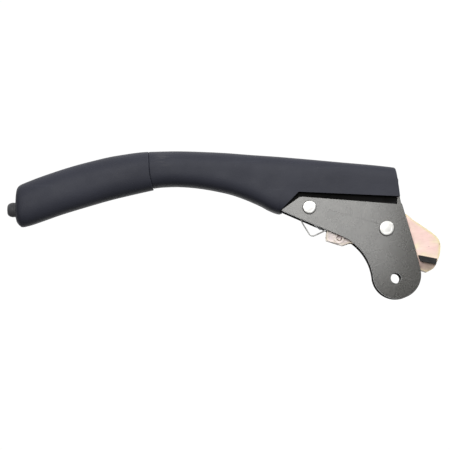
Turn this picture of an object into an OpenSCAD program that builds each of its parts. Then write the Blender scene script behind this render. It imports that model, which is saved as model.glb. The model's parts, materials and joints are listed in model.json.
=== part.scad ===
// Parking brake lever for a light vehicle: a grip and an arm cover over a steel core,
// two side plates that turn on a fixed ratchet bracket, and a push button that lifts the pawl.
// Everything is drawn around the lever's pivot (x to the rear, z up, y to the right of the
// vehicle) and then placed so that the mouth of the front mounting thread is the origin.

/* [Side plates] */
// Thickness of each side plate
plate_t = 2.8; // [2.4:0.1:2.8]
// Radius of the lobe that takes the brake cable
lobe_r = 19.1; // [18.5:0.1:20]
// Radius of the cable pin hole in the lobe
cable_hole_r = 4.2; // [3.5:0.1:5]

/* [Pins] */
// Radius of the lever's pivot pin
pivot_r = 4; // [3.5:0.1:4.5]
// Radius of the pivot pin's heads
pivot_head_r = 6.1; // [5.5:0.1:7]
// Radius of the pawl's pin
pawl_pin_r = 3.5; // [3:0.1:4]
// Radius of the pawl pin's heads
pawl_head_r = 5.5; // [5:0.1:6]
// Height of the pin heads
head_h = 2.3; // [1.8:0.1:2.6]

/* [Grip and cover] */
// Wall of the arm cover
cover_wall = 2.4; // [2:0.1:2.4]
// Half width of the arm cover at its rear end
cover_half_w = 16.8; // [16.8:0.1:17.6]
// Half width of the grip at its middle
grip_half_w = 14.8; // [14:0.1:16]
// Radius of the push button
button_r = 5.9; // [5.4:0.1:6]

/* [Handle tube] */
// Outer radius of the handle tube
tube_r = 8.8; // [8.4:0.1:8.8]
// Wall of the handle tube
tube_wall = 2; // [1.5:0.1:2.2]
// Radius of the release rod
rod_r = 2.5; // [2:0.1:2.8]

/* [Ratchet] */
// Radius of the tips of the ratchet teeth
tip_r = 50.5; // [50.3:0.1:50.5]
// Depth of the ratchet teeth
tooth_h = 2.3; // [2.3:0.1:2.6]
// Number of notches that the lever can be pulled
notches = 9; // [6:1:9]

/* [Bracket] */
// Thickness of the bracket's walls
wall_t = 2.2; // [1.8:0.1:2.2]
// Thickness of the bracket's feet
foot_t = 3; // [2.5:0.1:3.5]
// Radius of the mounting threads
thread_r = 4; // [3:0.1:4.2]

/* [Hidden] */
$fn = 64;

// Places of the main axes, measured from the lever's pivot
pawl_x = -61.4;
pawl_z = 16.8;
cable_x = 7.2;
cable_z = -40.6;
lobe_x = 8.1;
lobe_z = -37.9;
// How far the handle, cover, core and plates are raised over the places drawn for them
lift = 1.1;

// Distances from the middle plane, working outwards
half_tooth = 2.5;
wall_o = 8.8;
wall_i = wall_o - wall_t;
core_i = 9.2;
core_o = 11.2;
plate_i = core_o;
plate_o = plate_i + plate_t;

// The sloping plane that the bracket's feet stand on
foot_a = 17.5;
foot_x = -41;
foot_z = -11.25;
rear_foot = 61;
foot_dir = [cos(foot_a), -sin(foot_a)];
function on_foot(s, up) = [foot_x + s * foot_dir[0] - up * foot_dir[1] * 1, foot_z + s * foot_dir[1] + up * foot_dir[0]];

// Centre line of the handle tube: one wide bend in the middle plane
bend_r = 320;
bend_x = -151;
bend_z = -272;
function run_z(x) = bend_z + sqrt(bend_r * bend_r - (x - bend_x) * (x - bend_x));
function run_a(x) = acos((x - bend_x) / bend_r);

// Push button
button_z = 14.5;
button_tip = -302.6;

// Pawl and teeth: the pawl rests just clear of the tooth tips, drops into a gap when the
// button comes out, and is lifted further when the button is pressed
pitch_a = 5;
root_r = tip_r - tooth_h;
gap_a = 178.5;
arm_len = 19;
arm_off = -2;
drop = 2.6;
drop_a = drop / arm_len * 180 / PI;
function pol(r, a) = [r * cos(a), r * sin(a)];

// ---- helpers ----

module xz(y0, y1) { rotate([90, 0, 0]) translate([0, 0, -y1]) linear_extrude(y1 - y0) children(); }
module ycyl(x, z, r, y0, y1) { translate([x, y0, z]) rotate([-90, 0, 0]) cylinder(r = r, h = y1 - y0); }
module xcyl(x0, x1, z, r) { translate([x0, 0, z]) rotate([0, 90, 0]) cylinder(r = r, h = x1 - x0); }
module both() { children(); mirror([0, 1, 0]) children(); }
module place() { translate([-foot_x, 0, -foot_z]) children(); }
module place_raised() { translate([-foot_x, 0, lift - foot_z]) children(); }

// The handle's centre line as a round solid of radius r, from x0 to x1
module run(r, x0, x1, hole = 0) {
    translate([bend_x, 0, bend_z]) rotate([90, 0, 0]) rotate([0, 0, run_a(x1)])
        rotate_extrude(angle = run_a(x0) - run_a(x1)) translate([bend_r, 0]) difference() {
            circle(r);
            if (hole > 0) circle(hole);
        }
}

// Points of an arc, both ends included
function arc(c, r, a0, a1, n) = [for (i = [0 : n]) let (a = a0 + (a1 - a0) * i / n) [c[0] + r * cos(a), c[1] + r * sin(a)]];

// Smooth curve through a table of [x, value]
function seg(t, x, i = 0) = i >= len(t) - 2 || x <= t[i + 1][0] ? i : seg(t, x, i + 1);
function slope(t, i) = let (a = max(i - 1, 0), b = min(i + 1, len(t) - 1)) (t[b][1] - t[a][1]) / (t[b][0] - t[a][0]);
function curve(t, x) = let (i = seg(t, x), h = t[i + 1][0] - t[i][0], u = (x - t[i][0]) / h,
    m0 = slope(t, i) * h, m1 = slope(t, i + 1) * h)
    (2 * u * u * u - 3 * u * u + 1) * t[i][1] + (u * u * u - 2 * u * u + u) * m0
    + (3 * u * u - 2 * u * u * u) * t[i + 1][1] + (u * u * u - u * u) * m1;

// A closed shell lofted through upright sections at the given x values
function bow(v, q) = sign(v) * pow(abs(v), q);
module loft(xs, top, bot, wid, sq, inset) {
    n = 36;
    m = len(xs);
    pts = [for (x = xs) let (a = curve(top, x) - inset, b = curve(bot, x) + inset, w = curve(wid, x) - inset, q = 2 / curve(sq, x))
        for (k = [0 : n - 1]) [x, w * bow(cos(360 * k / n), q), (a + b) / 2 + (a - b) / 2 * bow(sin(360 * k / n), q)]];
    side = [for (i = [0 : m - 2], k = [0 : n - 1]) let (k1 = (k + 1) % n, a = i * n + k, b = i * n + k1, c = a + n, d = b + n)
        each [[a, c, d], [a, d, b]]];
    caps = [[for (k = [0 : n - 1]) k], [for (k = [n - 1 : -1 : 0]) (m - 1) * n + k]];
    polyhedron(pts, concat(side, caps), convexity = 6);
}

// A wire of radius r swept along a path
function unit(v) = v / norm(v);
module wire(path, r, ref) {
    n = 8;
    m = len(path);
    pts = [for (i = [0 : m - 1]) let (t = unit(path[min(i + 1, m - 1)] - path[max(i - 1, 0)]), u = unit(cross(t, ref)), v = cross(t, u))
        for (k = [0 : n - 1]) path[i] + r * (cos(360 * k / n) * u + sin(360 * k / n) * v)];
    side = [for (i = [0 : m - 2], k = [0 : n - 1]) let (k1 = (k + 1) % n, a = i * n + k, b = i * n + k1, c = a + n, d = b + n)
        each [[a, c, d], [a, d, b]]];
    caps = [[for (k = [0 : n - 1]) k], [for (k = [n - 1 : -1 : 0]) (m - 1) * n + k]];
    polyhedron(pts, concat(side, caps), convexity = 10);
}

// ---- grip, button and rod ----

grip_top = [[-295.6, 27], [-295, 30.8], [-293.5, 33.4], [-291, 35], [-285, 37.5], [-277, 40.6], [-261, 46.1], [-249, 49.8],
    [-237, 53], [-221, 56.8], [-209, 58.85], [-197, 60.5], [-184, 61.4]];
grip_bot = [[-295.6, 7], [-295, 4.8], [-293.5, 2.6], [-291, 0.7], [-285, 1.7], [-277, 4.3], [-261, 10], [-249, 13.8],
    [-237, 17.4], [-221, 22], [-209, 25], [-197, 27.8], [-184, 30.7]];
grip_wid = [[-295.6, 8.5], [-295, 11], [-293.5, 12.8], [-291, 13.7], [-285, 14.2], [-249, grip_half_w], [-209, grip_half_w], [-184, 14.4]];
grip_sq = [[-295.6, 2.5], [-260, 2.6], [-184, 2.7]];
grip_xs = [-295.6, -295.4, -295, -294.4, -293.5, -292.4, -291, -288, -285, -281, -277, -271, -265, -259, -253, -247, -241,
    -235, -229, -223, -217, -211, -205, -199, -193, -189, -184];
// The seam between grip and cover, from above down: it bends to the rear at the bottom
seam = [[-189.7, 66], [-189.4, 56], [-189, 47], [-188.2, 40.5], [-186.9, 35], [-185.5, 30.5], [-184.2, 26]];

module grip_sleeve() {
    color("#303136") difference() {
        loft(grip_xs, grip_top, grip_bot, grip_wid, grip_sq, 0);
        xz(-30, 30) polygon(concat([for (p = seam) p + [-0.05, 0]], [[-170, 26], [-170, 66]]));
        run(tube_r + 0.05, -288.2, -170);
        xcyl(-300, -281, button_z, 7.25);
    }
}

module button_guide() {
    color("#3a3b40") difference() {
        xcyl(-294.8, -290.4, button_z, 7.2);
        xcyl(-300, -280, button_z, button_r + 0.08);
    }
}

module push_button() {
    color("#222327") difference() {
        translate([0, 0, button_z]) rotate([0, 90, 0]) rotate_extrude()
            polygon([[0, button_tip], [2.2, button_tip], [3.6, -302.2], [4.7, -301.2], [5.4, -299.8], [button_r, -297.6],
                [button_r, -288.5], [0, -288.5]]);
        run(rod_r, -292, -270);
    }
}

// The rod ends in a pad that pushes on the pawl's upper arm
module release_rod() {
    color("#b9bcc0") union() {
        run(rod_r, -292, -68.5);
        xcyl(-71.4, -66.75, 38.8 - lift, 3.4);
    }
}

collar_x = -121;
guide_x = -94;
// Slope and axis of the straight spring seat between collar and guide
seat_a = 7.8;
seat_x = (collar_x + guide_x) / 2;
module seat(x0, x1, r) { translate([seat_x, 0, run_z(seat_x)]) rotate([0, 90 + seat_a, 0]) translate([0, 0, (x0 - seat_x) / cos(seat_a)]) cylinder(r = r, h = (x1 - x0) / cos(seat_a)); }

module spring_collar() {
    color("#c9b26a") difference() {
        seat(collar_x - 5, collar_x, 5.6);
        run(rod_r, -150, -80);
    }
}

module button_spring() {
    turns = 7;
    x0 = collar_x + 0.9;
    x1 = guide_x - 0.9;
    steps = turns * 14;
    path = [for (i = [0 : steps]) let (u = i / steps, a = 360 * turns * u, s = x0 + (x1 - x0) * u)
        [s + 4.6 * cos(a) * sin(seat_a), 4.6 * sin(a), run_z(seat_x) - (s - seat_x) * tan(seat_a) + 4.6 * cos(a) * cos(seat_a)]];
    color("#a9adb2") wire(path, 0.6, [1, 0, -tan(seat_a)]);
}

module rod_guide() {
    color("#e4e2da") difference() {
        run(tube_r - tube_wall, guide_x, guide_x + 8);
        seat(guide_x - 5, guide_x + 15, 4.3);
    }
}

// ---- lever ----

module handle_tube() { color("#55575c") run(tube_r, -266, -86, tube_r - tube_wall); }

cover_top = [[-192, 60.9], [-177, 61.3], [-165, 61.4], [-149, 61], [-129, 60], [-109, 58.4], [-85, 56.6], [-61, 54.5],
    [-37, 52.3], [-13, 50.2], [1, 48.7], [14, 47]];
cover_bot = [[-192, 30.2], [-184, 31.9], [-177, 32.6], [-165, 32.9], [-149, 31.6], [-129, 28], [-117, 24.5], [-101, 17.9],
    [-93, 13.7], [-86, 11.2], [-70, 10], [14, 10]];
cover_wid = [[-192, 14.2], [-165, 14.2], [-129, 14.8], [-93, 16], [-61, cover_half_w], [14, cover_half_w]];
cover_sq = [[-192, 2.7], [-149, 2.9], [-109, 3.6], [-85, 4.4], [14, 4.8]];
cover_xs = [-192, -187, -182, -177, -171, -165, -157, -149, -141, -133, -125, -117, -109, -101, -97, -93, -89, -85, -77, -69, -61, -45, -29,
    -13, -1, 8, 14];
cover_low = [[-70, 28], [-84.6, 13], [-86, 4]];
module cover_side(in) {
    n = len(seam) - 1;
    polygon(concat([[seam[n][0] + 0.05 - in, -50]], [for (i = [n : -1 : 0]) seam[i] + [0.05 - in, 0]], [[seam[0][0] + 0.05 - in, 90],
        [4.6 - in, 90], [4.6 - in, 49.6], [6.3 - in, 48.3], [7.2 - in, 47], [7.6 - in, 45.2], [8.1 - in, 42.4], [8.95 - in, 37], [10 - in, 30],
        [10.6 - in, 24.4 - 4 * in]],
        [for (p = cover_low) p - [0, 4 * in]]));
}

module arm_cover() {
    color("#2c2d32") difference() {
        intersection() {
            loft(cover_xs, cover_top, cover_bot, cover_wid, cover_sq, 0);
            xz(-30, 30) cover_side(0);
        }
        intersection() {
            loft(cover_xs, cover_top, cover_bot, cover_wid, cover_sq, cover_wall);
            xz(-30, 30) cover_side(cover_wall);
        }
        xcyl(0, 20, 37.5, 1.55);
        xcyl(8.75, 20, 37.5, 2.65);
    }
}

module cover_screw() {
    color("#8d9096") difference() {
        union() {
            xcyl(0.7, 8.85, 37.5, 1.5);
            translate([9.15, 0, 37.5]) rotate([0, 90, 0]) rotate_extrude()
                polygon([[0, -0.4], [2.5, -0.4], [2.5, 0.4], [2.1, 0.85], [1.4, 1.1], [0, 1.2]]);
        }
        translate([10.15, 0, 37.5]) cube([0.7, 0.7, 3], center = true);
        translate([10.15, 0, 37.5]) cube([0.7, 3, 0.7], center = true);
    }
}

// The steel core: two walls beside the tube and the pawl, a web over them behind the tube's
// end, and a rear tab that takes the cover's screw
function core_top(x) = 50.5 - 0.064 * (x + 104);
module lever_channel() {
    color("#17181a") difference() {
        union() {
            both() xz(core_i, core_o) polygon([[-104, core_top(-104)], [3.6, core_top(3.6)], [3.6, 29], [6.2, 26.5], [6.6, 24.4], [8.6, 23],
                [8.6, 17], [-44, 15], [-52, 8.6], [-64, 8.4], [-74, 11.4], [-80, 13.4], [-84, 16.6], [-86, 18], [-104, 30]]);
            xz(-core_o, core_o) polygon([[-84, core_top(-84)], [3.6, core_top(3.6)], [3.6, core_top(3.6) - 2], [-84, core_top(-84) - 2]]);
            xz(-core_o, core_o) polygon([[1.6, core_top(1.6)], [3.6, core_top(3.6)], [3.6, 29], [1.6, 29]]);
        }
        ycyl(pawl_x, pawl_z - lift, pawl_pin_r, -20, 20);
        xcyl(0, 10, 37.5, 1.5);
    }
}

// The lobe meets the lower edge in a hollow of this radius
hollow_r = 40;
hollow = [-50.6, -44.6];
module plate_side() {
    a = atan2(lobe_z - hollow[1], lobe_x - hollow[0]);
    polygon(concat([[-83.4, 13.9], [-83.1, 13.1], [-82, 12.5]], arc(hollow, hollow_r, 66.2, a + 0.4, 18), arc([lobe_x, lobe_z], lobe_r, 180 + a, 373.5, 48),
        [[22.2, -15], [12.4, 18], [11.4, 19.6], [10.5, 24], [8.6, 24], [8.2, 18.5], [-67.2, 24.3], [-69.4, 23.9], [-70.4, 23.3]]));
}
module side_plate(y0, y1) {
    difference() {
        xz(y0, y1) plate_side();
        ycyl(0, -lift, pivot_r, -20, 20);
        ycyl(pawl_x, pawl_z - lift, pawl_pin_r, -20, 20);
        ycyl(cable_x, cable_z, cable_hole_r, -20, 20);
    }
}
module side_plate_left() { color("#56585b") side_plate(-plate_o, -plate_i); }
module side_plate_right() { color("#56585b") side_plate(plate_i, plate_o); }

module headed_pin(x, z, r, hr) {
    ycyl(x, z, r, -plate_o - 0.5, plate_o + 0.5);
    both() translate([x, plate_o, z]) rotate([-90, 0, 0]) rotate_extrude()
        polygon([[0, 0], [hr, 0], [hr, head_h - 0.6], [hr - 0.6, head_h], [0, head_h]]);
}
module pivot_pin() { color("#d5d6d6") headed_pin(0, 0, pivot_r, pivot_head_r); }
module pawl_pin() { color("#d5d6d6") headed_pin(pawl_x, pawl_z, pawl_pin_r, pawl_head_r); }

module pawl_spacers() {
    color("#9a9da1") both() difference() {
        ycyl(pawl_x, pawl_z, 5, half_tooth + 0.15, core_i);
        ycyl(pawl_x, pawl_z, pawl_pin_r, -20, 20);
    }
}

module thrust_washers() {
    color("#d8d3c4") both() difference() {
        ycyl(0, 0, 9, wall_o + 0.1, plate_i);
        ycyl(0, 0, pivot_r, -20, 20);
    }
}

// The pawl's torsion spring: coils round the left spacer, one leg behind the pawl's upper
// arm, and one leg that loops out below the left plate and hooks under its edge
module pawl_spring() {
    c = 6.1;
    turns = 3.5;
    steps = turns * 16;
    y0 = -3.7;
    y1 = -8;
    coil = [for (i = [0 : steps]) let (u = i / steps, a = 0 + 360 * turns * u)
        [pawl_x + c * cos(a), y0 + (y1 - y0) * u, pawl_z + c * sin(a)]];
    leg_up = [[pawl_x + 4.6, -3.5, pawl_z + 14], [pawl_x + 5.4, -3.6, pawl_z + 8], [pawl_x + 6, -3.65, pawl_z + 3]];
    leg_down = [[pawl_x - 6.2, -8, pawl_z - 4], [-67.6, -7.9, 8], [-67, -7.7, 5], [-64, -7.2, 0], [-61.4, -7, -4], [-60.4, -6.9, -5.1],
        [-58.8, -6.8, -5.6], [-57, -6.8, -5.3], [-53, -6.8, -3.4], [-50.2, -6.8, -2.1], [-49.3, -7.2, -1.7], [-48.9, -8.2, -1.5], [-48.9, -10, -1.5], [-48.9, -13, -1.5]];
    color("#8b8e93") wire(concat(leg_up, coil, leg_down), 0.6, [0.2, 1, 0.1]);
}

// ---- pawl ----

function about_pawl(p, a) = let (d = p - [pawl_x, pawl_z]) [pawl_x + d[0] * cos(a) + d[1] * sin(a), pawl_z - d[0] * sin(a) + d[1] * cos(a)];
module pawl_side() {
    c = [pawl_x, pawl_z];
    tooth = [[-57, 6.4], [-55.6, 4.6], [-50.6, 0.9], pol(root_r + 0.35, gap_a + 0.2), pol(root_r + 0.35, gap_a - 0.2), pol(51.3, gap_a - 2.7),
        pol(51.8, gap_a - 4.4), pol(53.6, gap_a - 8)];
    polygon(concat(arc(c + [arm_off, arm_len], 3.2, 0, 180, 12), arc(c, 9, 125, 262, 18), [for (p = tooth) about_pawl(p, drop_a)], arc(c, 9, -22, 30, 8)));
}
module pawl() {
    color("#7b7e82") difference() {
        xz(-half_tooth, half_tooth) pawl_side();
        ycyl(pawl_x, pawl_z, 5, -10, 10);
    }
}

module pawl_bush() {
    color("#b98a4a") difference() {
        ycyl(pawl_x, pawl_z, 5, -half_tooth, half_tooth);
        ycyl(pawl_x, pawl_z, pawl_pin_r + 0.05, -10, 10);
    }
}

// ---- fixed bracket ----

buffer = [[25.3, -21.2], [39.8, -24], [39.2, -28.3], [26.75, -25.9]];
buffer_x = 33;
buffer_z = -24.9;
sector_pins = [[-29, 3.4], [-9, 16]];

module bracket_side() {
    f = on_foot(-6.8, 0);
    polygon([f, on_foot(6.6, 0), [-29.6, -11.4], [-24, -11], [-8, -13], [4, -19], on_foot(52, 0), on_foot(77.2, 0) + [0, 0.4], [35, -33.1], [37.3, -31.6],
        [39.1, -29.1], [40.1, -26.6], [41.1, -24.2], [42.1, -21.6], [42.6, -19.2], [42.9, -16.6], [43, -14.2], [42.9, -12], [42.3, -9.8], [41, -7.6], [39.3, -5.6],
        [36.6, -3.3], [31.2, 0.5], [24.8, 4.8], [21.7, 6.9], [16.6, 11], [8, 17], [-4, 23], [-16, 21], [-36, 8.6], [-47.2, -1.6], [f[0] - 0.4, f[1] + 3]]);
}
// A drawn hole with a raised rim in each wall, above the front foot
rim_x = -37.7;
rim_z = -7.6;
module foot(s0, s1) {
    xz(-wall_o, wall_o) polygon([on_foot(s0, 0), on_foot(s1, 0), on_foot(s1, foot_t), on_foot(s0, foot_t)]);
}
// A bore square to the feet, at s along them
module foot_bore(s, r, up0, up1) {
    p = on_foot(s, up0);
    translate([p[0], 0, p[1]]) rotate([0, foot_a, 0]) cylinder(r = r, h = up1 - up0);
}
module base_bracket() {
    color("#d9c69a") difference() {
        union() {
            both() xz(wall_i, wall_o) bracket_side();
            both() ycyl(rim_x, rim_z, 4, wall_i, wall_o + 1.4);
            foot(-6.8, 6.6);
            foot(52, 77);
        }
        ycyl(0, 0, 6.5, -20, 20);
        for (p = sector_pins) ycyl(p[0], p[1], 2.5, -20, 20);
        ycyl(buffer_x, buffer_z, 1.4, -20, 20);
        both() ycyl(rim_x, rim_z, 2.3, 5, 20);
        foot_bore(0, thread_r, -5, 20);
        foot_bore(rear_foot, thread_r, -5, 20);
    }
}

module weld_nuts() {
    color("#cfcabb") for (s = [0, rear_foot]) difference() {
        foot_nut(s);
        foot_bore(s, thread_r, -5, 20);
    }
}
module foot_nut(s) {
    p = on_foot(s, foot_t);
    translate([p[0], 0, p[1]]) rotate([0, foot_a, 0]) cylinder(r = 13 / 2 / cos(30), h = 6.5, $fn = 6);
}

module sector_side() {
    a0 = gap_a - pitch_a * notches;
    tips = [for (k = [0 : notches]) each [pol(tip_r, a0 + pitch_a * (k - 0.5) - 0.25), pol(tip_r, a0 + pitch_a * (k - 0.5) + 0.25),
        pol(root_r, a0 + pitch_a * k - 0.2), pol(root_r, a0 + pitch_a * k + 0.2)]];
    polygon(concat([[0, 0], [5, 12], pol(tip_r, a0 - 6)], tips, [pol(tip_r, gap_a + pitch_a / 2 - 0.25), pol(tip_r, gap_a + pitch_a / 2 + 0.25),
        [-47.4, -1], [-46.2, 2], [-43.6, 2], [-30, -2.6], [-12, -8]]));
    circle(13);
}
module ratchet_sector() {
    color("#b7b2a2") difference() {
        xz(-half_tooth, half_tooth) sector_side();
        ycyl(0, 0, 6.5, -20, 20);
        for (p = sector_pins) ycyl(p[0], p[1], 2.5, -20, 20);
        ycyl(-28, 18, 5.5, -20, 20);
    }
}
module sector_rivets() { color("#c9cacb") for (p = sector_pins) ycyl(p[0], p[1], 2.5, -wall_o, wall_o); }
module sector_spacers() {
    color("#9a9da1") both() for (p = sector_pins) difference() {
        ycyl(p[0], p[1], 4.4, half_tooth, wall_i);
        ycyl(p[0], p[1], 2.5, -20, 20);
    }
}
module pivot_bush() {
    color("#b98a4a") difference() {
        ycyl(0, 0, 6.5, -wall_o, wall_o);
        ycyl(0, 0, pivot_r + 0.05, -20, 20);
    }
}
module stop_buffers() {
    color("#141415") both() {
        xz(wall_o, 14.4) polygon(buffer);
        ycyl(buffer_x, buffer_z, 1.4, wall_i, wall_o + 0.5);
        ycyl(buffer_x, buffer_z, 2.2, wall_i - 1.2, wall_i);
    }
}

place_raised() grip_sleeve();
place_raised() button_guide();
place_raised() push_button();
place_raised() release_rod();
place_raised() spring_collar();
place_raised() button_spring();
place_raised() rod_guide();
place_raised() handle_tube();
place_raised() arm_cover();
place_raised() cover_screw();
place_raised() lever_channel();
place_raised() side_plate_left();
place_raised() side_plate_right();
place() pivot_pin();
place() pawl_pin();
place() pawl_spacers();
place() thrust_washers();
place() pawl_spring();
place() pawl();
place() pawl_bush();
place() base_bracket();
place() ratchet_sector();
place() sector_rivets();
place() sector_spacers();
place() pivot_bush();
place() weld_nuts();
place() stop_buffers();
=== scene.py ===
import json
import math

import bmesh
import bpy
import numpy as np
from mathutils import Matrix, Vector

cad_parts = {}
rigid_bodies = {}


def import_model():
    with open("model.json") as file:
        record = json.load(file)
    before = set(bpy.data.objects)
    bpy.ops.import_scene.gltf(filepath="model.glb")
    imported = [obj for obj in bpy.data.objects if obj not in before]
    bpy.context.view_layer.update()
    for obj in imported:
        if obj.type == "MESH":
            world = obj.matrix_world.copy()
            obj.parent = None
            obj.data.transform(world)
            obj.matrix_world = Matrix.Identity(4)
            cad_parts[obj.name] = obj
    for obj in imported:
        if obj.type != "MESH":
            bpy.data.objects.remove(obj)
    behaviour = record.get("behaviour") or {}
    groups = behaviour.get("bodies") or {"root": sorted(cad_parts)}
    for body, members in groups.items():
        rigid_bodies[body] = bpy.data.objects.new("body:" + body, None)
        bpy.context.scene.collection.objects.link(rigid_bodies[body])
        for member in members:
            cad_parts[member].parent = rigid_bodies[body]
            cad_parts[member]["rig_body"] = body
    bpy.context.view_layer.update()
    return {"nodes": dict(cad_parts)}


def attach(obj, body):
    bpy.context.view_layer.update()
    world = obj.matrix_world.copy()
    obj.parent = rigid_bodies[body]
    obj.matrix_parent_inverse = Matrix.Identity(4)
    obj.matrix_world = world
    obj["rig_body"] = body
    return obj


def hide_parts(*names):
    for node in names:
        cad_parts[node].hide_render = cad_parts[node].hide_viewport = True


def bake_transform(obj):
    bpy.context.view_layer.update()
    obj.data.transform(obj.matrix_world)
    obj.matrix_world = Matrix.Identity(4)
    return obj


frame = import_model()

scene = bpy.context.scene
nodes = frame["nodes"]

# The row frame is the pivot frame moved by this much; shapes below are in the pivot frame, in mm.
SHIFT = np.array([41.0, 0.0, 11.25])
# The grip, cover, push button and button spring are raised by this much over the places given for them.
LIFT = 1.1


def to_row(points, up=0.0):
    return (np.asarray(points, float) + SHIFT + (0.0, 0.0, up)) / 1000.0


# ---------------------------------------------------------------- shader helpers


def node(nt, kind, inputs=None, **props):
    n = nt.nodes.new(kind)
    for k, v in props.items():
        setattr(n, k, v)
    for k, v in (inputs or {}).items():
        if isinstance(v, bpy.types.NodeSocket):
            nt.links.new(v, n.inputs[k])
        else:
            n.inputs[k].default_value = v
    return n


def ramp(nt, fac, stops, interpolation="LINEAR"):
    n = node(nt, "ShaderNodeValToRGB", {"Fac": fac})
    n.color_ramp.interpolation = interpolation
    els = n.color_ramp.elements
    while len(els) < len(stops):
        els.new(0.5)
    for e, (p, c) in zip(els, stops):
        e.position = p
        e.color = (c, c, c, 1) if isinstance(c, (int, float)) else (*c, 1)
    return n.outputs["Color"]


def start(name):
    m = bpy.data.materials.new(name)
    m.use_nodes = True
    nt = m.node_tree
    b = nt.nodes["Principled BSDF"]
    co = node(nt, "ShaderNodeTexCoord").outputs["Object"]
    return m, nt, b, co


def place(nt, co, loc=(0, 0, 0), rot=(0, 0, 0), scale=(1, 1, 1)):
    return node(nt, "ShaderNodeMapping", {"Vector": co, "Location": loc, "Rotation": rot, "Scale": scale}).outputs["Vector"]


def noise(nt, co, scale, detail=4.0, rough=0.55, distortion=0.0):
    return node(nt, "ShaderNodeTexNoise", {"Vector": co, "Scale": scale, "Detail": detail, "Roughness": rough, "Distortion": distortion}).outputs[0]


def bump(nt, height, strength, distance, normal=None):
    ins = {"Height": height, "Strength": strength, "Distance": distance}
    if normal is not None:
        ins["Normal"] = normal
    return node(nt, "ShaderNodeBump", ins).outputs["Normal"]


def math_(nt, op, a, b=0.0):
    n = node(nt, "ShaderNodeMath", operation=op)
    for i, v in enumerate((a, b)):
        if isinstance(v, bpy.types.NodeSocket):
            nt.links.new(v, n.inputs[i])
        else:
            n.inputs[i].default_value = v
    return n.outputs[0]


def mix(nt, fac, a, b):
    n = node(nt, "ShaderNodeMix", data_type="RGBA")
    for k, v in ((0, fac), (6, a), (7, b)):
        if isinstance(v, bpy.types.NodeSocket):
            nt.links.new(v, n.inputs[k])
        else:
            n.inputs[k].default_value = v if k == 0 else (*v, 1)
    return n.outputs[2]


def link(nt, b, **sockets):
    for k, v in sockets.items():
        nt.links.new(v, b.inputs[k.replace("_", " ")])


# ---------------------------------------------------------------- materials


def plastic(name, dark, light, rough, grain=1500.0, depth=0.00012, scuff=None):
    m, nt, b, co = start(name)
    cloud = noise(nt, co, 26, 5, 0.6)
    color = ramp(nt, cloud, [(0.3, dark), (0.7, light)])
    # rubbed streaks that run along the handle
    streak = noise(nt, place(nt, co, rot=(0, 0.25, 0), scale=(18, 60, 240)), 1.0, 5, 0.6, 0.4)
    worn = ramp(nt, streak, [(0.6, 0.0), (0.78, 1.0)])
    color = mix(nt, math_(nt, "MULTIPLY", worn, 0.22), color, tuple(min(1, c * 1.5 + 0.008) for c in light))
    if scuff:
        # one pale rubbed patch
        d = node(nt, "ShaderNodeVectorMath", {0: place(nt, co, loc=[-a * s for a, s in zip(scuff, (1, 0, 1))], scale=(1, 0, 1))}, operation="LENGTH").outputs["Value"]
        near = ramp(nt, math_(nt, "MULTIPLY", d, 90.0), [(0.1, 1.0), (1.0, 0.0)], "EASE")
        lines = ramp(nt, noise(nt, place(nt, co, rot=(0, -0.85, 0), scale=(70, 60, 420)), 1.0, 4, 0.6), [(0.42, 0.0), (0.68, 1.0)])
        patch = math_(nt, "MULTIPLY", near, lines)
        color = mix(nt, math_(nt, "MULTIPLY", patch, 0.55), color, (0.12, 0.12, 0.13))
    # a few grains of dust
    dust = ramp(nt, noise(nt, co, 900, 2, 0.5), [(0.735, 0.0), (0.79, 1.0)])
    color = mix(nt, math_(nt, "MULTIPLY", dust, 0.35), color, (0.2, 0.2, 0.2))
    link(nt, b, Base_Color=color)
    link(nt, b, Roughness=ramp(nt, noise(nt, co, 60, 4, 0.6), [(0.3, rough - 0.05), (0.7, rough + 0.06)]))
    cell = node(nt, "ShaderNodeTexVoronoi", {"Vector": co, "Scale": grain, "Randomness": 1.0}, feature="SMOOTH_F1").outputs["Distance"]
    fine = bump(nt, cell, 0.5, depth)
    link(nt, b, Normal=bump(nt, noise(nt, co, 55, 3, 0.5), 0.16, 0.0012, fine))
    b.inputs["Specular IOR Level"].default_value = 0.28
    return m


def paint(name, dark, light, rough, coat=0.5, peel=0.09, gloss=0.5):
    m, nt, b, co = start(name)
    color = ramp(nt, noise(nt, co, 34, 5, 0.6), [(0.3, dark), (0.7, light)])
    hair = noise(nt, place(nt, co, rot=(0, 0.6, 0), scale=(30, 60, 900)), 1.0, 3, 0.6, 0.3)
    scratch = ramp(nt, hair, [(0.69, 0.0), (0.74, 1.0)])
    color = mix(nt, math_(nt, "MULTIPLY", scratch, 0.12), color, (0.12, 0.12, 0.125))
    edge = ramp(nt, node(nt, "ShaderNodeNewGeometry").outputs["Pointiness"], [(0.53, 0.0), (0.6, 1.0)])
    rub = math_(nt, "MULTIPLY", edge, ramp(nt, noise(nt, co, 160, 4, 0.6), [(0.45, 0.0), (0.65, 0.25)]))
    color = mix(nt, rub, color, (0.16, 0.16, 0.165))
    link(nt, b, Base_Color=color)
    link(nt, b, Roughness=ramp(nt, noise(nt, co, 90, 5, 0.65), [(0.3, rough - 0.04), (0.7, rough + 0.06)]))
    link(nt, b, Normal=bump(nt, noise(nt, co, 520, 2, 0.5), peel, 0.0004))
    b.inputs["Coat Weight"].default_value = coat
    b.inputs["Coat Roughness"].default_value = 0.1
    b.inputs["Specular IOR Level"].default_value = gloss
    b.inputs["Specular Tint"].default_value = (1.0, 0.975, 0.9, 1.0)
    return m


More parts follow.
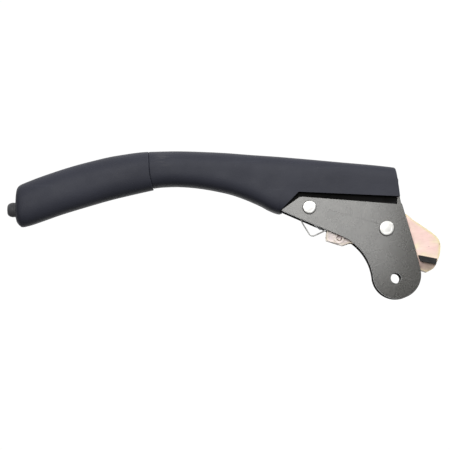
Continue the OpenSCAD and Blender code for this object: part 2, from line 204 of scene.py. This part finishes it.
def metal(name, dark, light, rough, turned=None, grain=(40, 40, 900), spots=None, shine=1.0):
    """Bare or plated steel: brushed along x, or turned about the y axis through each of the given x, z places."""
    m, nt, b, co = start(name)
    color = ramp(nt, noise(nt, co, 120, 5, 0.65), [(0.3, dark), (0.7, light)])
    if spots:
        color = mix(nt, ramp(nt, noise(nt, co, 420, 4, 0.7), [(0.66, 0.0), (0.72, 0.8)]), color, spots)
    link(nt, b, Base_Color=color)
    b.inputs["Metallic"].default_value = shine
    link(nt, b, Roughness=ramp(nt, noise(nt, co, 260, 5, 0.7), [(0.3, rough - 0.07), (0.7, rough + 0.09)]))
    if turned:
        ring = node(nt, "ShaderNodeTexWave", {"Vector": place(nt, co, loc=(-turned[0], 0, -turned[1])), "Scale": 420.0, "Distortion": 1.2, "Detail": 2.0},
                    wave_type="RINGS", rings_direction="Y").outputs["Fac"]
        nrm = bump(nt, ring, 0.12, 0.0001)
    else:
        nrm = bump(nt, noise(nt, place(nt, co, scale=grain), 1.0, 4, 0.6), 0.12, 0.0002)
    link(nt, b, Normal=bump(nt, noise(nt, co, 300, 3, 0.5), 0.08, 0.0004, nrm))
    return m


def passivated(name):
    """Yellow-passivated zinc: pink middle, yellow and green tints that drift over the sheet, dark pits."""
    m, nt, b, co = start(name)
    drift = noise(nt, place(nt, co, scale=(1, 1, 1.4)), 34, 3, 0.55, 0.6)
    tint = ramp(nt, drift, [(0.24, (0.94, 0.9, 0.52)), (0.36, (0.99, 0.84, 0.62)), (0.46, (1.0, 0.77, 0.67)), (0.6, (1.0, 0.72, 0.66)),
                            (0.72, (0.99, 0.84, 0.62)), (0.84, (0.88, 0.92, 0.58))])
    # the plating is paler and greyer towards the front foot
    x = node(nt, "ShaderNodeSeparateXYZ", {0: co}).outputs["X"]
    pale = ramp(nt, math_(nt, "MULTIPLY", x, 20.0), [(0.1, 1.0), (0.8, 0.0)])
    tint = mix(nt, math_(nt, "MULTIPLY", pale, 0.75), tint, (0.88, 0.82, 0.84))
    streak = ramp(nt, noise(nt, place(nt, co, rot=(0, 0.7, 0), scale=(60, 60, 260)), 1.0, 4, 0.6), [(0.35, (0.88, 0.87, 0.86)), (0.65, (1, 1, 1))])
    color = node(nt, "ShaderNodeMix", data_type="RGBA", blend_type="MULTIPLY")
    nt.links.new(tint, color.inputs[6])
    nt.links.new(streak, color.inputs[7])
    color.inputs[0].default_value = 1.0
    # yellow-green runs where the bath drained off the edges
    soft = node(nt, "ShaderNodeBevel", {"Radius": 0.005}, samples=8).outputs["Normal"]
    true = node(nt, "ShaderNodeNewGeometry").outputs["Normal"]
    along = node(nt, "ShaderNodeVectorMath", {0: soft, 1: true}, operation="DOT_PRODUCT").outputs["Value"]
    edge = ramp(nt, along, [(0.72, 1.0), (0.99, 0.0)])
    edge = math_(nt, "MULTIPLY", edge, ramp(nt, noise(nt, co, 90, 3, 0.6), [(0.32, 0.25), (0.55, 1.0)]))
    edge = math_(nt, "MULTIPLY", edge, ramp(nt, math_(nt, "MULTIPLY", x, 20.0), [(0.1, 0.3), (0.8, 1.0)]))
    color = mix(nt, math_(nt, "MULTIPLY", edge, 0.85), color.outputs[2], (0.82, 0.8, 0.3))
    # painted shade on the tongue below the rubber stop: a soft, mottled brown-grey darkening
    d = node(nt, "ShaderNodeVectorMath", {0: place(nt, co, loc=(-0.0745 * 0.7, 0, 0.0185 * 1.3), scale=(0.7, 0, 1.3))}, operation="LENGTH").outputs["Value"]
    shade_below_stop = ramp(nt, math_(nt, "MULTIPLY", d, 90.0), [(0.35, 1.0), (0.75, 0.0)], "EASE")
    shade_below_stop = math_(nt, "MULTIPLY", shade_below_stop, ramp(nt, noise(nt, co, 200, 3, 0.6), [(0.25, 0.6), (0.6, 0.85)]))
    color = mix(nt, shade_below_stop, color, (0.4, 0.29, 0.25))
    pit = ramp(nt, noise(nt, co, 330, 3, 0.6), [(0.7, 0.0), (0.745, 1.0)])
    color = mix(nt, math_(nt, "MULTIPLY", pit, 0.8), color, (0.16, 0.09, 0.06))
    link(nt, b, Base_Color=color)
    b.inputs["Metallic"].default_value = 0.45
    link(nt, b, Roughness=ramp(nt, noise(nt, co, 150, 5, 0.65), [(0.3, 0.34), (0.7, 0.5)]))
    link(nt, b, Normal=bump(nt, noise(nt, co, 240, 4, 0.6), 0.1, 0.0005))
    return m


def rubber(name):
    m, nt, b, co = start(name)
    link(nt, b, Base_Color=ramp(nt, noise(nt, co, 220, 4, 0.6), [(0.3, (0.012, 0.012, 0.013)), (0.7, (0.03, 0.03, 0.031))]))
    link(nt, b, Roughness=ramp(nt, noise(nt, co, 300, 4, 0.6), [(0.3, 0.6), (0.7, 0.8)]))
    link(nt, b, Normal=bump(nt, noise(nt, co, 1400, 3, 0.5), 0.25, 0.0002))
    return m


PIVOT = (0.041, 0.01125)
PAWL = (-0.0204, 0.02805)
M = {
    "grip": plastic("grip_plastic", (0.041, 0.043, 0.058), (0.051, 0.0535, 0.072), 0.54),
    "cover": plastic("cover_plastic", (0.04, 0.042, 0.057), (0.051, 0.0535, 0.072), 0.52, scuff=(-0.136, 0.0, 0.068)),
    "button": plastic("button_plastic", (0.108, 0.108, 0.116), (0.137, 0.137, 0.145), 0.46, 1800, 0.00008),
    "guide": plastic("guide_plastic", (0.012, 0.012, 0.013), (0.02, 0.02, 0.022), 0.5, 1800, 0.00008),
    "nylon": plastic("nylon_plastic", (0.62, 0.6, 0.54), (0.74, 0.72, 0.66), 0.45, 1600, 0.00006),
    "plate": paint("plate_paint", (0.022, 0.0218, 0.0205), (0.034, 0.0336, 0.032), 0.25, 0.9, 0.07, 0.6),
    # core: real black coat, set far darker than the plates' paint, so where it shows in the gap below the cover's edge
    # it is also painted shade
    "core": paint("core_paint_and_gap_shade", (0.003, 0.003, 0.0035), (0.007, 0.007, 0.0075), 0.55, 0.0, 0.12, 0.1),
    "screw": paint("screw_zinc", (0.02, 0.02, 0.022), (0.045, 0.045, 0.047), 0.4, 0.1, 0.1),
    "zinc_pivot": metal("zinc_pivot", (0.66, 0.655, 0.63), (0.8, 0.795, 0.77), 0.42, turned=PIVOT),
    "zinc_pawl": metal("zinc_pawl", (0.66, 0.655, 0.63), (0.8, 0.795, 0.77), 0.42, turned=PAWL),
    "steel": metal("turned_steel", (0.42, 0.43, 0.44), (0.56, 0.57, 0.58), 0.34),
    "rod": metal("drawn_steel", (0.46, 0.47, 0.48), (0.6, 0.61, 0.62), 0.3, grain=(30, 700, 700)),
    "spring": metal("spring_wire", (0.76, 0.755, 0.73), (0.9, 0.895, 0.87), 0.4, grain=(300, 300, 300), shine=0.0),
    "ratchet": metal("hardened_steel", (0.26, 0.265, 0.27), (0.4, 0.405, 0.41), 0.38, spots=(0.12, 0.1, 0.08)),
    "bronze": metal("sintered_bronze", (0.42, 0.27, 0.12), (0.56, 0.38, 0.18), 0.42, spots=(0.16, 0.1, 0.05)),
    "passivated": passivated("passivated_zinc"),
    "rubber": rubber("buffer_rubber"),
}
SLOT = {
    "grip_sleeve": "grip", "button_guide": "guide", "push_button": "button", "release_rod": "rod", "spring_collar": "rod",
    "button_spring": "spring", "rod_guide": "nylon", "handle_tube": "core", "arm_cover": "cover", "cover_screw": "screw",
    "lever_channel": "core", "side_plate_left": "plate", "side_plate_right": "plate", "pivot_pin": "zinc_pivot", "pawl_pin": "zinc_pawl",
    "pawl_spacers": "steel", "thrust_washers": "nylon", "pawl_spring": "spring", "pawl": "ratchet", "pawl_bush": "bronze",
    "base_bracket": "passivated", "ratchet_sector": "ratchet", "sector_rivets": "steel", "sector_spacers": "steel",
    "pivot_bush": "bronze", "weld_nuts": "passivated", "stop_buffers": "rubber",
}


def dress(obj, mat):
    obj.data.materials.clear()
    obj.data.materials.append(mat)


def edge_round(obj, width, segments=3, angle=28):
    """Welds the imported facets together and rounds the sharp edges."""
    w = obj.modifiers.new("weld", "WELD")
    w.merge_threshold = 1e-6
    b = obj.modifiers.new("round", "BEVEL")
    b.width = width
    b.segments = segments
    b.limit_method = "ANGLE"
    b.angle_limit = math.radians(angle)
    b.use_clamp_overlap = True
    b.harden_normals = True


for name, obj in nodes.items():
    dress(obj, M[SLOT[name]])
    attr = obj.data.attributes.get("custom_normal")
    if attr is not None:
        obj.data.attributes.remove(attr)
    obj.data.polygons.foreach_set("use_smooth", [True] * len(obj.data.polygons))
    edge_round(obj, {"side_plate_left": 0.00025, "side_plate_right": 0.00025, "base_bracket": 0.0005, "stop_buffers": 0.0005,
                     "weld_nuts": 0.0004}.get(name, 0.0002))

# ---------------------------------------------------------------- shape helpers


def curve(t, x):
    i = 0
    while i < len(t) - 2 and x > t[i + 1][0]:
        i += 1

    def slope(k):
        a, b = max(k - 1, 0), min(k + 1, len(t) - 1)
        return (t[b][1] - t[a][1]) / (t[b][0] - t[a][0])

    h = t[i + 1][0] - t[i][0]
    u = (x - t[i][0]) / h
    m0, m1 = slope(i) * h, slope(i + 1) * h
    return (2 * u**3 - 3 * u**2 + 1) * t[i][1] + (u**3 - 2 * u**2 + u) * m0 + (3 * u**2 - 2 * u**3) * t[i + 1][1] + (u**3 - u**2) * m1


def bow(v, q):
    return math.copysign(abs(v) ** q, v)


def smooth(a, b, x):
    u = min(1.0, max(0.0, (x - a) / (b - a)))
    return u * u * (3 - 2 * u)


class Skin:
    """Upright rounded sections along x, from tables of top, bottom, half width and squareness."""

    def __init__(self, top, bot, wid, sq):
        self.t = (top, bot, wid, sq)

    def at(self, x, th, inset=0.0):
        top, bot, wid, sq = (curve(t, x) for t in self.t)
        top, bot, wid, q = top - inset, bot + inset, wid - inset, 2.0 / sq
        return wid * bow(math.cos(th), q), (top + bot) / 2 + (top - bot) / 2 * bow(math.sin(th), q)

    def ring(self, n, place_x, th0=-90.0, th1=270.0, inset=0.0, dense=480):
        """n points evenly spaced round the section; place_x(z) gives each point's x."""
        pts = []
        for k in range(dense + 1):
            th = math.radians(th0 + (th1 - th0) * k / dense)
            x = place_x(None)
            for _ in range(2):
                y, z = self.at(x, th, inset)
                x = place_x(z)
            y, z = self.at(x, th, inset)
            pts.append((x, y, z))
        pts = np.array(pts)
        d = np.concatenate([[0], np.cumsum(np.linalg.norm(np.diff(pts, axis=0), axis=1))])
        s = np.linspace(0, d[-1], n)
        return np.stack([np.interp(s, d, pts[:, i]) for i in range(3)], axis=1)


def rings_mesh(name, rings, closed, cap_first=False, cap_last=False, up=0.0):
    """A quad skin through rings that all have the same number of points, in mm in the pivot frame."""
    n = len(rings[0])
    co = to_row(np.concatenate(rings), up)
    faces = []
    last = n if closed else n - 1
    for i in range(len(rings) - 1):
        for k in range(last):
            a, b = i * n + k, i * n + (k + 1) % n
            faces.append((a, b, b + n, a + n))
    if cap_first:
        faces.append(tuple(range(n - 1, -1, -1)))
    if cap_last:
        faces.append(tuple((len(rings) - 1) * n + k for k in range(n)))
    me = bpy.data.meshes.new(name)
    me.from_pydata([tuple(c) for c in co], [], faces)
    me.validate()
    obj = bpy.data.objects.new(name, me)
    scene.collection.objects.link(obj)
    me.polygons.foreach_set("use_smooth", [True] * len(me.polygons))
    return obj


def clean(obj, outward_of=None, merge=1e-6):
    """Merges doubles and turns every face outwards (away from the axis point nearest to it)."""
    bm = bmesh.new()
    bm.from_mesh(obj.data)
    bmesh.ops.remove_doubles(bm, verts=bm.verts, dist=merge)
    bmesh.ops.dissolve_degenerate(bm, edges=bm.edges, dist=1e-7)
    bmesh.ops.recalc_face_normals(bm, faces=bm.faces)
    if outward_of is not None:
        score = sum((f.calc_center_median() - outward_of(f.calc_center_median())).dot(f.normal) * f.calc_area() for f in bm.faces)
        if score < 0:
            bmesh.ops.reverse_faces(bm, faces=bm.faces)
    bm.to_mesh(obj.data)
    bm.free()
    obj.data.polygons.foreach_set("use_smooth", [True] * len(obj.data.polygons))


def stand_for(obj, node_name, mat=None, between=None):
    dress(obj, mat or M[SLOT[node_name]])
    if between:
        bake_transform(obj)
    else:
        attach(obj, nodes[node_name]["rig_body"])
    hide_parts(node_name)
    return obj


def run_z(x):
    return -272 + math.sqrt(320.0**2 - (x + 151.0) ** 2)


# ---------------------------------------------------------------- grip

GRIP = Skin(
    [(-295.6, 27), (-295, 30.8), (-293.5, 33.4), (-291, 35), (-285, 37.5), (-277, 40.6), (-261, 46.1), (-249, 49.8),
     (-237, 53), (-221, 56.8), (-209, 58.85), (-197, 60.5), (-184, 61.4)],
    [(-295.6, 7), (-295, 4.8), (-293.5, 2.6), (-291, 0.7), (-285, 1.7), (-277, 4.3), (-261, 10), (-249, 13.8),
     (-237, 17.4), (-221, 22), (-209, 25), (-197, 27.8), (-184, 30.7)],
    [(-295.6, 8.5), (-295, 11), (-293.5, 12.8), (-291, 13.7), (-285, 14.2), (-249, 14.8), (-209, 14.8), (-184, 14.4)],
    [(-295.6, 2.5), (-260, 2.6), (-184, 2.7)],
)
BUTTON_Z = 14.5


SEAM = [(26.0, -184.2), (30.5, -185.5), (35.0, -186.9), (40.5, -188.2), (47.0, -189.0), (56.0, -189.4), (66.0, -189.7)]


def seam_x(z):
    return float(np.interp(z, [p[0] for p in SEAM], [p[1] for p in SEAM]))


def grip():
    n = 112
    mid = 45.5
    lip = 0.7
    end = seam_x(mid) - 0.05
    rings = []

    def leaning(xb, amount):
        return lambda z: xb if z is None else xb + amount * (seam_x(z) - seam_x(mid))

    # front face, from the button's hole outwards
    def hole(r, x):
        base = GRIP.ring(n, lambda z: -295.6)
        c = np.array([0, BUTTON_Z])
        out = []
        for p in base:
            d = np.array([p[1], p[2]]) - c
            d = d / np.linalg.norm(d)
            out.append((x, r * d[0], BUTTON_Z + r * d[1]))
        return np.array(out)

    rings += [hole(6.55, -294.9), hole(6.55, -295.2), hole(6.65, -295.45), hole(6.9, -295.58), hole(7.2, -295.6)]
    xs = [-295.6, -295.52, -295.4, -295.2, -295, -294.7, -294.4, -294, -293.5, -293, -292.4, -291.7, -291, -290, -288.5]
    xs += list(np.arange(-287, end - 3, 1.5))
    xs += [end - 2.6, end - 1.8, end - lip]
    for x in xs:
        rings.append(GRIP.ring(n, leaning(x, smooth(-222, end - lip, x))))
    for k in range(1, 6):
        t = math.radians(18 * k)
        rings.append(GRIP.ring(n, leaning(end - lip + lip * math.sin(t), 1.0), inset=lip * (1 - math.cos(t))))
    rim = rings[-1]
    for f in (0.85, 0.55):
        c = np.array([0, run_z(end)])
        ring = rim.copy()
        for p in ring:
            d = np.array([p[1], p[2]]) - c
            u = d / np.linalg.norm(d) * 8.9
            q = c + u + (d - u) * (f if f > 0.6 else 0.0)
            p[1], p[2] = q
            p[0] = leaning(end, 1.0)(q[1])
        rings.append(ring)
    obj = rings_mesh("grip_skin", [r[:-1] for r in rings], True, up=LIFT)
    clean(obj, lambda c: Vector((c.x, 0, (run_z(c.x * 1000 - 41) + 11.25 + LIFT) / 1000)))
    return stand_for(obj, "grip_sleeve")


grip()

# ---------------------------------------------------------------- arm cover

COVER = Skin(
    [(-192, 60.9), (-177, 61.3), (-165, 61.4), (-149, 61), (-129, 60), (-109, 58.4), (-85, 56.6), (-61, 54.5),
     (-37, 52.3), (-13, 50.2), (1, 48.7), (14, 47)],
    [(-192, 30.2), (-184, 31.9), (-177, 32.6), (-165, 32.9), (-149, 31.6), (-129, 28), (-117, 24.5), (-101, 17.9),
     (-93, 13.7), (-86, 11.2), (-70, 10), (14, 10)],
    [(-192, 14.2), (-165, 14.2), (-129, 14.8), (-93, 16), (-61, 16.8), (14, 16.8)],
    [(-192, 2.7), (-149, 2.9), (-109, 3.6), (-85, 4.4), (14, 4.8)],
)
REAR = [(20.0, 11.07), (24.4, 10.6), (30.0, 10.0), (37.0, 8.95), (42.4, 8.1), (45.2, 7.6), (47.0, 7.2), (48.3, 6.3), (52.0, 3.7)]
REAR_MID = 8.95


def rear_x(z):
    return float(np.interp(z, [p[0] for p in REAR], [p[1] for p in REAR]))


def low_z(x):
    if x < -84.6:
        return 13.0 - (-84.6 - x) * 9.0 / 1.4
    if x < -70:
        return 28.0 - (-70 - x) * 15.0 / 14.6
    return 28.0 - (x + 70) * 3.6 / 80.0


def cover():
    n = 121
    lip = 0.7
    mid = 45.5
    front = seam_x(mid) + 0.05
    rings = []

    def cut(place_x, inset=0.0):
        """The open section above the lower edge, or the whole section where nothing is cut away."""
        x = place_x(26.0)
        zl = low_z(x)
        top, bot, wid, sq = (curve(t, x) for t in COVER.t)
        top, bot = top - inset, bot + inset
        if zl <= bot + 1e-6:
            return COVER.ring(n, place_x, -90, 270, inset)
        v = (zl - (top + bot) / 2) / ((top - bot) / 2)
        th = math.degrees(math.asin(max(-1.0, min(1.0, bow(v, sq / 2)))))
        return COVER.ring(n, place_x, th, 180 - th, inset)

    def front_lean(xb, amount):
        return lambda z: xb if z is None else xb + amount * (seam_x(z) - seam_x(mid))

    def rear_lean(xb, amount):
        return lambda z: xb if z is None else xb + amount * (rear_x(z) - REAR_MID)

    for k in range(5, 0, -1):
        t = math.radians(18 * k)
        rings.append(cut(front_lean(front + lip - lip * math.sin(t), 1.0), lip * (1 - math.cos(t))))
    xs = [front + lip, front + 1.8, front + 2.6] + list(np.arange(front + 4, -96, 2.0))
    xs += list(np.arange(-96, -87.3, 1.2)) + [-87, -86, -85.4, -85.05, -84.95, -84.85, -84.75, -84.68, -84.6, -84.2, -83.6, -82.8]
    xs += list(np.arange(-81.9, -70.4, 0.9)) + [-70.2, -70, -69.5, -68.5, -67] + list(np.arange(-65, 3.5, 2.5)) + [5.2, 6.6, REAR_MID - 1.0]
    for x in xs:
        if x < -150:
            rings.append(cut(front_lean(x, 1 - smooth(front + lip, -155, x))))
        else:
            rings.append(cut(rear_lean(x, smooth(-45, REAR_MID - 1.0, x))))
    r = 1.0
    for k in range(1, 7):
        t = math.radians(15 * k)
        rings.append(cut(rear_lean(REAR_MID - r + r * math.sin(t), 1.0), r * (1 - math.cos(t))))
    # the rear wall closes in on the middle of the lower edge
    rim = rings[-1]
    c = np.array([0.0, (rim[0][2] + rim[-1][2]) / 2])
    for s in (0.94, 0.8, 0.6, 0.4, 0.2, 0.05):
        ring = rim.copy()
        ring[:, 1] *= s
        ring[:, 2] = c[1] + (rim[:, 2] - c[1]) * s
        ring[:, 0] = [rear_x(z) for z in ring[:, 2]]
        rings.append(ring)
    obj = rings_mesh("cover_shell", rings, False, up=LIFT)
    clean(obj, lambda c: Vector((c.x, 0, 0.045)), 2e-6)
    s = obj.modifiers.new("wall", "SOLIDIFY")
    s.thickness = 0.0023
    s.offset = -1
    s.use_even_offset = False
    s.use_rim = True
    b = obj.modifiers.new("round", "BEVEL")
    b.width = 0.0005
    b.segments = 3
    b.limit_method = "ANGLE"
    b.angle_limit = math.radians(50)
    b.harden_normals = True
    return stand_for(obj, "arm_cover")


cover()

# ---------------------------------------------------------------- turned pieces


def lathe(name, profile, axis, n=96, up=0.0):
    """profile is (distance along the axis, radius) in mm; axis(s, r, angle) gives the point in mm in the pivot frame."""
    rings = [np.array([axis(s, r, 2 * math.pi * k / n) for k in range(n)]) for s, r in profile]
    obj = rings_mesh(name, rings, True, True, True, up)
    clean(obj)
    return obj


def button():
    prof = [(-288.5, 5.3), (-288.35, 5.7), (-288.0, 5.9), (-296.6, 5.9), (-296.8, 5.82), (-297.0, 5.72), (-297.25, 5.72), (-297.45, 5.82), (-297.7, 5.88)]
    for k in range(1, 15):
        t = math.radians(k * 6.2)
        prof.append((-297.7 - 4.9 * math.sin(t), 2.0 + 3.88 * math.cos(t) ** 0.8))
    prof += [(-302.58, 1.6), (-302.6, 0.8)]
    obj = lathe("button_body", prof, lambda s, r, a: (s, r * math.cos(a), BUTTON_Z + r * math.sin(a)), up=LIFT)
    return stand_for(obj, "push_button")


button()


def pin(node_name, x, z, r, hr, mat):
    h = 2.3
    half = []
    # from the shank's middle out to the head: under-head edge, rim, rounded shoulder, shallow peened ring, crown
    half += [(14.0, r), (14.02, hr - 0.5), (14.35, hr - 0.4), (14.5, hr - 0.1), (14.65, hr), (15.2, hr)]
    for k in range(1, 7):
        t = math.radians(15 * k)
        half.append((15.2 + 0.85 * math.sin(t), hr - 0.85 * (1 - math.cos(t))))
    half += [(16.1, hr * 0.8), (16.13, hr * 0.66), (16.11, hr * 0.6), (16.1, hr * 0.55), (16.12, hr * 0.5), (16.15, hr * 0.4), (16.17, hr * 0.2), (16.18, 0.15)]
    prof = [(-s, q) for s, q in reversed(half)] + half
    obj = lathe(node_name + "_body", prof, lambda s, q, a: (x + q * math.cos(a), s, z + q * math.sin(a)), 72)
    return stand_for(obj, node_name, mat)


pin("pivot_pin", 0.0, 0.0, 4.0, 6.1, M["zinc_pivot"])
pin("pawl_pin", -61.4, 16.8, 3.5, 5.5, M["zinc_pawl"])

# ---------------------------------------------------------------- springs


def wire(name, path, r, sides=16, up=0.0):
    c = bpy.data.curves.new(name, "CURVE")
    c.dimensions = "3D"
    sp = c.splines.new("POLY")
    sp.points.add(len(path) - 1)
    for p, q in zip(sp.points, to_row(path, up)):
        p.co = (*q, 1)
    c.bevel_depth = r / 1000.0
    c.bevel_resolution = sides // 4
    c.use_fill_caps = True
    tmp = bpy.data.objects.new(name + "_line", c)
    scene.collection.objects.link(tmp)
    me = bpy.data.meshes.new_from_object(tmp.evaluated_get(bpy.context.evaluated_depsgraph_get()))
    bpy.data.objects.remove(tmp)
    obj = bpy.data.objects.new(name, me)
    scene.collection.objects.link(obj)
    me.polygons.foreach_set("use_smooth", [True] * len(me.polygons))
    return obj


def soft_path(points, per=8):
    """A smooth line through the points."""
    p = np.array(points, float)
    out = []
    for i in range(len(p) - 1):
        a, b, c, d = p[max(i - 1, 0)], p[i], p[i + 1], p[min(i + 2, len(p) - 1)]
        for k in range(per):
            u = k / per
            out.append(0.5 * (2 * b + (c - a) * u + (2 * a - 5 * b + 4 * c - d) * u**2 + (3 * b - a - 3 * c + d) * u**3))
    out.append(p[-1])
    return out


def pawl_spring():
    px, pz, c, turns = -61.4, 16.8, 6.1, 3.5
    up = soft_path([(px + 4.6, -3.5, pz + 14), (px + 5.4, -3.6, pz + 8), (px + 6, -3.65, pz + 3), (px + 6.1, -3.7, pz)], 8)[:-1]
    steps = int(turns * 40)
    coil = [(px + c * math.cos(2 * math.pi * turns * i / steps), -3.7 - 4.3 * i / steps, pz + c * math.sin(2 * math.pi * turns * i / steps)) for i in range(steps + 1)]
    down = soft_path([coil[-1], (px - 6.2, -8, pz - 4), (-67.6, -7.9, 8), (-67, -7.7, 5), (-64, -7.2, 0), (-61.4, -7, -4), (-60.4, -6.9, -5.1),
                      (-58.8, -6.8, -5.6), (-57, -6.8, -5.3), (-53, -6.8, -3.4), (-50.2, -6.8, -2.1), (-49.3, -7.2, -1.7), (-48.9, -8.2, -1.5),
                      (-48.9, -10, -1.5), (-48.9, -13, -1.5)], 6)[1:]
    # the upper leg leans on the pawl, which swings it in the real lever; here the wire stays where it is drawn
    return stand_for(wire("pawl_spring_wire", up + coil + down, 0.6), "pawl_spring",
                     between=("lever", "pawl", tuple(to_row((px, 0, pz + 6.8))), tuple(to_row((px, 0, pz + 13)))))


def button_spring():
    turns, x0, x1 = 7, -120.1, -94.9
    a = math.radians(7.8)
    sx = -107.5
    steps = turns * 40
    path = []
    for i in range(steps + 1):
        u = i / steps
        t, s = 2 * math.pi * turns * u, x0 + (x1 - x0) * u
        path.append((s + 4.6 * math.cos(t) * math.sin(a), 4.6 * math.sin(t), run_z(sx) - (s - sx) * math.tan(a) + 4.6 * math.cos(t) * math.cos(a)))
    # the rod's collar pushes the front end along in the real lever; here the wire stays where it is drawn
    return stand_for(wire("button_spring_wire", path, 0.58, up=LIFT), "button_spring",
                     between=("lever", "button", tuple(to_row((x1, 0, run_z(x1)), LIFT)), tuple(to_row((x0 + 1.5, 0, run_z(x0)), LIFT))))


pawl_spring()
button_spring()

# ---------------------------------------------------------------- stage, light and camera


def floor():
    me = bpy.data.meshes.new("floor")
    me.from_pydata([(-9, -9, -0.25), (9, -9, -0.25), (9, 1.8, -0.25), (-9, 1.8, -0.25)], [], [(0, 1, 2, 3)])
    obj = bpy.data.objects.new("floor", me)
    scene.collection.objects.link(obj)
    m, nt, b, co = start("floor_paper")
    link(nt, b, Base_Color=ramp(nt, noise(nt, co, 40, 3, 0.5), [(0.3, (0.855, 0.855, 0.855)), (0.7, (0.87, 0.87, 0.87))]))
    link(nt, b, Roughness=ramp(nt, noise(nt, co, 20, 3, 0.5), [(0.3, 0.8), (0.7, 0.9)]))
    b.inputs["Specular IOR Level"].default_value = 0.1
    # seen from below it is open, so that the underside can be looked at
    clear = node(nt, "ShaderNodeBsdfTransparent").outputs[0]
    both = node(nt, "ShaderNodeMixShader", {0: node(nt, "ShaderNodeNewGeometry").outputs["Backfacing"], 1: b.outputs[0], 2: clear})
    nt.links.new(both.outputs[0], nt.nodes["Material Output"].inputs["Surface"])
    me.materials.append(m)
    obj.visible_diffuse = False
    obj.visible_glossy = False


floor()

world = bpy.data.worlds.new("studio")
scene.world = world
world.use_nodes = True
wt = world.node_tree
way = node(wt, "ShaderNodeSeparateXYZ", {0: node(wt, "ShaderNodeTexCoord").outputs["Generated"]})
level = math_(wt, "ADD", math_(wt, "MULTIPLY", way.outputs["Y"], 0.75), math_(wt, "MULTIPLY", way.outputs["Z"], 0.3))
level = math_(wt, "ADD", level, 0.4)
sky = ramp(wt, level, [(0.0, 0.03), (0.3, 0.1), (0.55, 0.4), (0.95, 1.0)])
# the backdrop itself is plain white from every side; the shaded sky only lights the object
seen = node(wt, "ShaderNodeLightPath").outputs["Is Camera Ray"]
wt.links.new(mix(wt, seen, sky, (1.0, 1.0, 1.0)), wt.nodes["Background"].inputs["Color"])
wt.nodes["Background"].inputs["Strength"].default_value = 1.03


def lamp(name, loc, aim, size, power, color=(1, 1, 1)):
    d = bpy.data.lights.new(name, "AREA")
    d.shape = "RECTANGLE"
    d.size, d.size_y = size
    d.energy = power
    d.color = color
    o = bpy.data.objects.new(name, d)
    scene.collection.objects.link(o)
    o.location = loc
    o.rotation_mode = "QUATERNION"
    o.rotation_quaternion = (Vector(aim) - Vector(loc)).to_track_quat("-Z", "Y")
    o.visible_camera = False
    return o


CENTRE = Vector((-0.0875, 0.0, 0.0148))
lamp("front_panel", (-0.4, -2.3, 0.562), (-0.4, 0.0, 0.4), (1.21, 1.0), 24.0)
lamp("top_panel", (-0.1, -0.5, 1.5), CENTRE, (1.6, 1.0), 2.0)
lamp("side_panel", (0.9, -1.2, 1.0), (0.05, 0.0, 0.0), (0.45, 0.45), 16.0)

cam = bpy.data.cameras.new("camera")
cam.lens = 200.0
cam.sensor_width = 36.0
cam_o = bpy.data.objects.new("camera", cam)
scene.collection.objects.link(cam_o)
tilt = math.radians(-3.5)
back = Vector((0.0, -math.cos(tilt), math.sin(tilt)))
cam_o.location = CENTRE + back * 2.0
cam_o.rotation_mode = "QUATERNION"
cam_o.rotation_quaternion = (-back).to_track_quat("-Z", "Y")
cam.clip_start, cam.clip_end = 0.05, 30.0
scene.camera = cam_o

scene.view_settings.view_transform = "Standard"
scene.view_settings.look = "None"
